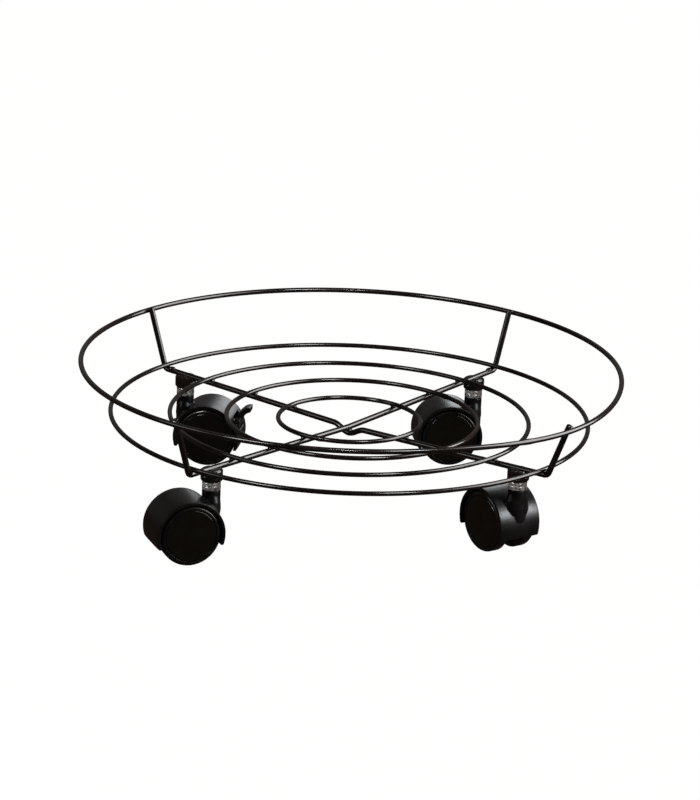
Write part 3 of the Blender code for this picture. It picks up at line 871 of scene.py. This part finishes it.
def stem_outline(foot, top, tip):
    """The stem's side from the pintle's end up to the thread's tip, with a collar in two bands."""
    groove = foot + STEM_GROOVE_SHARE * (top - foot)
    lower = [
        (STEM_PINTLE - STEM_EDGE, foot - STEM_LENGTH),
        (STEM_PINTLE, foot - STEM_LENGTH + STEM_EDGE),
        (STEM_PINTLE, foot),
        (STEM_COLLAR, foot),
        (STEM_COLLAR, groove - STEM_EDGE),
        (STEM_COLLAR_NECK, groove),
        (STEM_COLLAR, groove + STEM_EDGE),
        (STEM_COLLAR, top),
        (STEM_THREAD, top),
    ]
    rows = soften(lower, STEM_ROUNDING)
    count = int(THREAD_ROWS_PER_TURN * (tip - top) / THREAD_PITCH)
    rows += [(STEM_THREAD, top + (tip - top) * (row + 1) / count) for row in range(count)]
    return rows


def thread_cut(rise, left, turn):
    """Depth of the thread at a share of a turn, from its rise over the collar and what is left above."""
    if rise <= 0.0:
        return 0.0
    phase = (rise / THREAD_PITCH - turn) % 1.0
    fade = min(1.0, rise / THREAD_PITCH, left / THREAD_PITCH + 0.5)
    return THREAD_DEPTH * fade * (1.0 - abs(2.0 * phase - 1.0))


def stem_mesh():
    """Turned stem with a real helical thread above the collar."""
    foot = NECK_TOP + RUNNING_GAP
    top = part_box("socket_front_left")[0].z - RUNNING_GAP
    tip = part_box("stem_front_left")[1].z
    rows = []
    for radius, height in stem_outline(foot, top, tip):
        row = []
        for side in range(SMALL_SIDES):
            turn = side / SMALL_SIDES
            angle = 2.0 * pi * turn
            reach = radius - thread_cut(height - top, tip - height, turn)
            row.append(Vector((reach * cos(angle), reach * sin(angle), height)))
        rows.append(row)
    return sweep_mesh("castor_stem", rows)


def build_stems():
    mesh = stem_mesh()
    for corner in CORNERS:
        finish_node(f"stem_{corner}", mesh, CHROME, "frame", stem_place(corner))


# ------------------------ castors


def castor_place(corner):
    """Puts a shape made round the axle's middle at one castor."""
    stem = joint_place(f"swivel_{corner}")
    axle = joint_place(f"spin_{corner}_a")
    heading = atan2(axle.y - stem.y, axle.x - stem.x)
    return Matrix.Translation(axle) @ Matrix.Rotation(heading, 4, "Z")


def trail():
    """Distance from the stem to the axle, seen from above."""
    return (joint_place("spin_front_left_a") - joint_place("swivel_front_left")).xy.length


def hood_shell_mesh():
    """The wall over both wheels, slightly crowned, with both skirts cut level."""
    sections = []
    for step in range(HOOD_STEPS + 1):
        section = []
        for reach, side in shell_section():
            drop = asin(HOOD_SKIRT_DROP / reach)
            angle = (pi + 2.0 * drop) * step / HOOD_STEPS - drop
            section.append(Vector((reach * cos(angle), side, reach * sin(angle))))
        sections.append(section)
    return sweep_mesh("hood_shell", sections)


def shell_section():
    """The wall's section as (reach, y) points: flat inside, crowned outside."""
    inside = HOOD_RADIUS - HOOD_WALL
    outer = []
    for step in range(HOOD_CROWN_STEPS + 1):
        y = HOOD_HALF_WIDTH * (1.0 - 2.0 * step / HOOD_CROWN_STEPS)
        outer.append((HOOD_RADIUS - HOOD_CROWN * (y / HOOD_HALF_WIDTH) ** 4, y))
    return [(inside, -HOOD_HALF_WIDTH), (inside, HOOD_HALF_WIDTH), *outer]


def hood_web_mesh():
    """The rib between the wheels, which reaches a little into the wall."""
    reach = HOOD_RADIUS - 0.5 * HOOD_WALL
    drop = asin((HOOD_SKIRT_DROP - MM) / reach)
    return plate_mesh("hood_web", arc(reach, -drop, pi + drop, 64), HOOD_WEB_HALF)


def stem_column(name, outline):
    """A turned shape round the stem's axis."""
    mesh = rod_mesh(name, outline)
    mesh.transform(Matrix.Translation((-trail(), 0.0, 0.0)))
    return mesh


def hood_neck_mesh():
    """The stem's housing, whose rounded foot runs into the wall."""
    foot = NECK_FOOT_ABOVE_AXLE
    outline = [(MM, foot), (NECK_RADIUS, foot), (NECK_RADIUS, NECK_TOP - WHEEL_RADIUS)]
    return stem_column("hood_neck", soften(outline, NECK_FOOT_ROUND))


def hood_flare_mesh():
    """The swelling on the neck's lower half, wider across than along the castor."""
    outline = [(share * NECK_RADIUS, height) for share, height in NECK_FLARE]
    mesh = stem_column("hood_flare", soften(outline, NECK_FLARE_ROUND))
    mesh.transform(Matrix.Diagonal((1.0, NECK_FLARE_STRETCH, 1.0, 1.0)))
    return mesh


def stem_bore_mesh():
    reach = STEM_PINTLE + RUNNING_GAP
    foot = NECK_TOP - WHEEL_RADIUS - STEM_LENGTH - MM
    return stem_column("stem_bore", [(reach, foot), (reach, NECK_TOP)])


def lever_pivot():
    """The brake pin's place as (x, z) from the axle, from its joint."""
    pin = joint_place(f"brake_{BRAKED_CASTOR}")
    local = castor_place(BRAKED_CASTOR).inverted() @ pin
    return Vector((local.x, local.z))


def brake_slot_mesh():
    """The opening in the hood that the lever works in."""
    middle = atan2(lever_pivot().y, lever_pivot().x)
    start = middle - BRAKE_SLOT_BELOW
    end = middle + BRAKE_SLOT_ABOVE
    outline = arc(BRAKE_SLOT_OUTER, start, end, 4) + arc(BRAKE_SLOT_INNER, end, start, 4)
    return plate_mesh("brake_slot", outline, LEVER_HALF_WIDTH + RUNNING_GAP)


def hood_mesh(braked):
    """Wall, rib, neck and axle boss in one moulding."""
    boss = plain_rod(AXLE_BOSS_RADIUS, WHEEL_INNER_FACE - RUNNING_GAP)
    hole = plain_rod(AXLE_RADIUS + AXLE_PLAY, 2.0 * WHEEL_INNER_FACE)
    steps = [
        ("UNION", hood_web_mesh()),
        ("UNION", hood_neck_mesh()),
        ("UNION", hood_flare_mesh()),
        ("UNION", cross_rod_mesh("axle_boss", boss)),
    ]
    if braked:
        half = LEVER_HALF_WIDTH + RUNNING_GAP + EAR_THICKNESS
        ears = cross_rod_mesh("brake_ears", plain_rod(LEVER_BARREL, half), lever_pivot())
        pin_hole = cross_rod_mesh("pin_hole", plain_rod(PIN_RADIUS + PIN_PLAY, half + MM), lever_pivot())
        steps += [("UNION", ears), ("DIFFERENCE", brake_slot_mesh()), ("DIFFERENCE", pin_hole)]
    steps += [("DIFFERENCE", stem_bore_mesh()), ("DIFFERENCE", cross_rod_mesh("axle_hole", hole))]
    return moulded("braked_hood" if braked else "plain_hood", hood_shell_mesh(), steps, MOULD_GRAIN)


def wheel_outline():
    """Half a section through a wheel: round shoulder, thin rim, deep recesses and hub."""
    hub = AXLE_RADIUS + WHEEL_HUB_WALL
    rim = CAP_RADIUS + CAP_GAP
    web_in = WHEEL_INNER_FACE + WHEEL_WEB_INSET
    web_out = web_in + WHEEL_WEB_THICKNESS
    edge = WHEEL_SHOULDER
    quarter = arc(edge, 0.0, pi / 2.0, 8)
    shoulder = [(x + WHEEL_RADIUS - edge, y + WHEEL_OUTER_FACE - edge) for x, y in quarter]
    bore = AXLE_RADIUS + AXLE_PLAY
    return [
        (bore, WHEEL_INNER_FACE),
        (hub, WHEEL_INNER_FACE),
        (hub, web_in),
        (rim, web_in),
        (rim, WHEEL_INNER_FACE),
        (WHEEL_RADIUS - WHEEL_INNER_EDGE, WHEEL_INNER_FACE),
        (WHEEL_RADIUS, WHEEL_INNER_FACE + WHEEL_INNER_EDGE),
        *shoulder,
        (rim + WHEEL_RIM_EDGE, WHEEL_OUTER_FACE),
        (rim, WHEEL_OUTER_FACE - WHEEL_RIM_EDGE),
        (rim, web_out),
        (bore, web_out),
    ]


def wheel_rib_mesh(step):
    """A plate right across the wheel, which makes two of its ribs."""
    near = WHEEL_INNER_FACE + WHEEL_RIB_START
    far = WHEEL_INNER_FACE + WHEEL_RIB_END
    half = WHEEL_RIB_HALF
    outline = [(-half, near), (half, near), (half, far), (-half, far)]
    rib = plate_mesh(f"wheel_rib_{step}", outline, CAP_RADIUS + MM)
    rib.transform(Matrix.Rotation(pi * step / WHEEL_RIB_PAIRS, 4, "Z"))
    return rib


def wheel_mesh():
    """A wheel about +Z, which points away from the castor's middle, ribbed on its inner side."""
    ribs = [("UNION", wheel_rib_mesh(step)) for step in range(WHEEL_RIB_PAIRS)]
    reach = AXLE_RADIUS + AXLE_PLAY
    bore = rod_mesh("wheel_bore", [(reach, 0.0), (reach, 2.0 * WHEEL_OUTER_FACE)])
    body = lathe_mesh("wheel_body", soften(wheel_outline(), WHEEL_ROUNDING, closed=True), WHEEL_SIDES)
    mesh = combined("castor_wheel", body, [*ribs, ("DIFFERENCE", bore)])
    mesh.shade_smooth()
    mesh.set_sharp_from_angle(angle=SHARP_ANGLE)
    return mesh


def cap_mesh():
    """The disc that closes a wheel, with a well rounded rim and a low crown."""
    seat = AXLE_HALF_LENGTH + RUNNING_GAP
    rim_height = WHEEL_OUTER_FACE - CAP_RIM_DROP
    centre = 0.3 * MM
    outline = [(centre, seat), (CAP_RADIUS, seat), (CAP_RADIUS, rim_height)]
    start = CAP_RADIUS - CAP_RIM_WIDTH
    for step in range(CAP_CROWN_STEPS):
        share = 1.0 - step / CAP_CROWN_STEPS
        rise = (CAP_CROWN - rim_height) * (1.0 - 0.8 * share**2)
        outline.append((start * share + centre * (1.0 - share), rim_height + rise))
    outline.append((centre, CAP_CROWN))
    return rod_mesh("hub_cap", soften(outline, CAP_ROUNDING, steps=8), WHEEL_SIDES)


def clip_mesh():
    """The push-on washer that keeps a wheel on the axle, a shallow cone."""
    seat = WHEEL_INNER_FACE + CLIP_SEAT + RUNNING_GAP
    bore = AXLE_RADIUS + CLIP_PLAY
    outline = [
        (bore, seat + CLIP_CONE),
        (CLIP_RADIUS, seat),
        (CLIP_RADIUS, seat + 0.7 * CLIP_THICKNESS),
        (bore, seat + CLIP_THICKNESS),
    ]
    return lathe_mesh("axle_clip", soften(outline, CLIP_ROUNDING, closed=True), SMALL_SIDES)


def build_wheels(corner, place, wheel, cap, clip):
    """On both ends of the axle, a wheel, its cap and its clip."""
    for side, turn in (("a", -pi / 2.0), ("b", pi / 2.0)):
        outward = place @ Matrix.Rotation(turn, 4, "X")
        body = f"wheel_{corner}_{side}"
        finish_node(body, wheel, TREAD, body, outward)
        finish_node(f"hub_cap_{corner}_{side}", cap, GLOSS, body, outward)
        finish_node(f"axle_clip_{corner}_{side}", clip, STEEL, f"castor_{corner}", outward)


def grip(t):
    """Height of the grip ridges at a share of the finger's length."""
    along = (t - GRIP_START) / GRIP_SHARE
    if not 0.0 < along < 1.0:
        return 0.0
    return GRIP_HEIGHT * (0.5 - 0.5 * cos(2.0 * pi * GRIP_RIDGES * along))


def finger_mesh():
    """The lever's finger: it curves up from the barrel, ends level, and has grip ridges on top."""
    end = LEVER_TIP - lever_pivot()
    bend = Vector((LEVER_BEND_SHARE * end.x, end.y))
    steps = 60
    sections = []
    for step in range(steps + 1):
        t = step / steps
        point = bend * (2.0 * t * (1.0 - t)) + end * t**2
        slope = (bend * (1.0 - t) + (end - bend) * t).normalized()
        normal = Vector((-slope.y, slope.x))
        half = 0.5 * LEVER_THICKNESS * (1.0 + LEVER_ROOT_SWELL * (1.0 - t))
        upper = point + normal * (half + grip(t))
        lower = point - normal * half
        width = LEVER_FINGER_HALF_WIDTH
        corners = [(-width, lower), (width, lower), (width, upper), (-width, upper)]
        sections.append([Vector((spot.x, y, spot.y)) for y, spot in corners])
    return sweep_mesh("lever_finger", sections)


def nose_mesh():
    """The brake pad below the barrel, which hangs just clear of the treads."""
    pivot = lever_pivot()
    high = atan2(pivot.y, pivot.x)
    low = high - LEVER_NOSE / pivot.length
    inner = WHEEL_RADIUS + LEVER_NOSE_CLEARANCE
    outline = arc(inner, low, high, 8) + arc(inner + LEVER_NOSE_THICKNESS, high, low, 8)
    return plate_mesh("lever_nose", [(x - pivot.x, z - pivot.y) for x, z in outline], LEVER_HALF_WIDTH)


def lever_mesh():
    radius = LEVER_BARREL - LEVER_BARREL_PLAY
    barrel = cross_rod_mesh("lever_barrel", plain_rod(radius, LEVER_HALF_WIDTH))
    hole = cross_rod_mesh("lever_hole", plain_rod(PIN_RADIUS + PIN_PLAY, 2.0 * LEVER_HALF_WIDTH))
    steps = [("UNION", finger_mesh()), ("UNION", nose_mesh()), ("DIFFERENCE", hole)]
    return moulded("brake_lever", barrel, steps, LEVER_GRAIN)


def build_brake(place):
    """The lever and the pin it turns on."""
    pivot = lever_pivot()
    at_pin = place @ Matrix.Translation((pivot.x, 0.0, pivot.y))
    finish_node(f"brake_lever_{BRAKED_CASTOR}", lever_mesh(), NYLON, f"brake_{BRAKED_CASTOR}", at_pin)
    half = LEVER_HALF_WIDTH + RUNNING_GAP + EAR_THICKNESS
    pin = cross_rod_mesh("brake_pin", plain_rod(PIN_RADIUS, half, PIN_EDGE))
    finish_node(f"brake_pin_{BRAKED_CASTOR}", pin, STEEL, f"castor_{BRAKED_CASTOR}", at_pin)


def build_castors():
    hoods = {braked: hood_mesh(braked) for braked in (False, True)}
    wheel = wheel_mesh()
    cap = cap_mesh()
    clip = clip_mesh()
    axle = cross_rod_mesh("axle", plain_rod(AXLE_RADIUS, AXLE_HALF_LENGTH, AXLE_EDGE))
    for corner in CORNERS:
        place = castor_place(corner)
        castor = f"castor_{corner}"
        finish_node(f"hood_{corner}", hoods[corner == BRAKED_CASTOR], NYLON, castor, place)
        finish_node(f"axle_{corner}", axle, STEEL, castor, place)
        build_wheels(corner, place, wheel, cap, clip)
        if corner == BRAKED_CASTOR:
            build_brake(place)


# ------------------------ studio


def stage_shader(tree, output, seen, other):
    """Shows one shader to the camera, and another to all reflections and scattered light."""
    path = add_node(tree, "LightPath")
    mix = add_node(tree, "MixShader")
    tree.links.new(path.outputs["Is Camera Ray"], mix.inputs["Fac"])
    tree.links.new(other, mix.inputs[1])
    tree.links.new(seen, mix.inputs[2])
    tree.links.new(mix.outputs["Shader"], output.inputs["Surface"])


def floor_material():
    """A pale floor that glows evenly for the camera, and reflects as dark and warm."""
    material, tree = new_material("pale_floor")
    tree.nodes.clear()
    glow = add_node(tree, "Emission", {"Color": (1.0, 0.998, 0.995, 1.0)})
    matt = add_node(tree, "BsdfDiffuse", {"Color": (0.05, 0.05, 0.05, 1.0)})
    both = add_node(tree, "AddShader")
    tree.links.new(glow.outputs["Emission"], both.inputs[0])
    tree.links.new(matt.outputs["BSDF"], both.inputs[1])
    warm = add_node(tree, "Emission", {"Color": (0.045, 0.030, 0.024, 1.0)})
    output = add_node(tree, "OutputMaterial")
    stage_shader(tree, output, both.outputs["Shader"], warm.outputs["Emission"])
    return material


def add_floor():
    half = FLOOR_HALF
    corners = [(-half, -half, 0.0), (half, -half, 0.0), (half, half, 0.0), (-half, half, 0.0)]
    mesh = mesh_from("floor", [Vector(corner) for corner in corners], [(0, 1, 2, 3)])
    mesh.materials.append(floor_material())
    add_object("floor", mesh)


def add_world():
    """White all round for the camera. Reflections see a dark room with a paler wall behind the caddy."""
    world = bpy.data.worlds.new("studio")
    bpy.context.scene.world = world
    world.use_nodes = True
    tree = world.node_tree
    tree.nodes.clear()
    white = add_node(tree, "Background", {"Color": (1.0, 1.0, 1.0, 1.0)})
    coordinates = add_node(tree, "TexCoord")
    split = add_node(tree, "SeparateXYZ")
    tree.links.new(coordinates.outputs["Generated"], split.inputs["Vector"])
    towards_back = spread(tree, split.outputs["Y"], start=0.35, end=1.0)
    colour = blended(tree, towards_back, (0.022, 0.019, 0.018), (0.15, 0.14, 0.135))
    room = add_node(tree, "Background")
    tree.links.new(colour, room.inputs["Color"])
    output = add_node(tree, "OutputWorld")
    stage_shader(tree, output, white.outputs["Background"], room.outputs["Background"])


def add_softbox(name, direction, size, radiance, colour, receivers=()):
    """A square light of a given size and radiance that faces the caddy.

    Its direction is given as the camera sees it: right, away and up. Receivers, if any, are the only
    pieces that it lights.
    """
    light = bpy.data.lights.new(name, "AREA")
    light.shape = "SQUARE"
    light.size = size
    light.energy = pi * size**2 * radiance
    light.color = colour
    lamp = add_object(name, light)
    outward = Matrix.Rotation(CAMERA_AZIMUTH + pi / 2.0, 3, "Z") @ Vector(direction).normalized()
    lamp.location = UP * AIM_HEIGHT + outward * LIGHT_DISTANCE
    lamp.rotation_mode = "QUATERNION"
    lamp.rotation_quaternion = (-outward).to_track_quat("-Z", "Y")
    if receivers:
        lit = bpy.data.collections.new(f"lit_by_{name}")
        lamp.light_linking.receiver_collection = lit
        for receiver in receivers:
            lit.objects.link(receiver)


def pieces_in(*finishes):
    """The pieces that have one of the given finishes."""
    materials = [material for material, _ in finishes]
    return [piece for piece in bpy.context.scene.objects if piece.active_material in materials]


def add_lights():
    """Soft lights all round. Most light only some finishes, as flags in a studio would do.

    The light on the right is tall for the wire and the wheels, which spread it into bands, and smaller
    for the satin mouldings, which also have a wall behind them.
    """
    cool = (0.96, 0.98, 1.0)
    warm = (1.0, 0.985, 0.965)
    wire = pieces_in(PAINT)
    glossy = pieces_in(PAINT, GLOSS, TREAD)
    satin = pieces_in(NYLON)
    plated = pieces_in(CHROME)
    add_softbox("front_left", (-0.56, -0.6, 0.57), 0.32, 24.0, cool, glossy)
    add_softbox("front_right", (0.32, -0.6, 0.7), 0.32, 32.0, cool, wire)
    add_softbox("left_window", (-0.88, -0.3, 0.4), 0.5, 2.6, warm)
    add_softbox("right_tall", (0.9, 0.0, 0.5), 1.4, 8.5, warm, glossy)
    add_softbox("right_window", (0.86, -0.3, 0.38), 0.42, 25.0, cool, satin)
    add_softbox("back_wall", (0.3, 0.88, 0.36), 0.8, 3.0, cool, satin)
    add_softbox("collar_front", (0.6, -0.75, 0.35), 0.5, 11.0, warm, plated)
    add_softbox("collar_left", (-0.8, -0.4, 0.35), 0.5, 8.0, warm, plated)
    rim = [bpy.data.objects["top_ring_finished"]]
    add_softbox("sparkle", (0.0, -0.7, 0.7), 0.09, 150.0, cool, rim)


def add_camera():
    """A long lens from the front, a little above, tilted slightly as the picture is."""
    back = Vector((
        cos(CAMERA_AZIMUTH) * cos(CAMERA_ELEVATION),
        sin(CAMERA_AZIMUTH) * cos(CAMERA_ELEVATION),
        sin(CAMERA_ELEVATION),
    ))
    level = UP.cross(back).normalized()
    right = level * cos(CAMERA_ROLL) + back.cross(level) * sin(CAMERA_ROLL)
    upward = back.cross(right)
    place = UP * AIM_HEIGHT + back * CAMERA_DISTANCE
    lens = bpy.data.cameras.new("camera")
    lens.lens = CAMERA_LENS_MM
    lens.shift_x = CAMERA_SHIFT_RIGHT
    lens.shift_y = CAMERA_SHIFT_UP
    camera = add_object("camera", lens)
    camera.matrix_world = Matrix.Translation(place) @ Matrix((right, upward, back)).transposed().to_4x4()
    bpy.context.scene.camera = camera


build_rings()
build_cross_wires()
build_welds()
build_sockets()
build_stems()
build_castors()
add_floor()
add_world()
add_lights()
add_camera()
bpy.context.scene.view_settings.view_transform = "Standard"
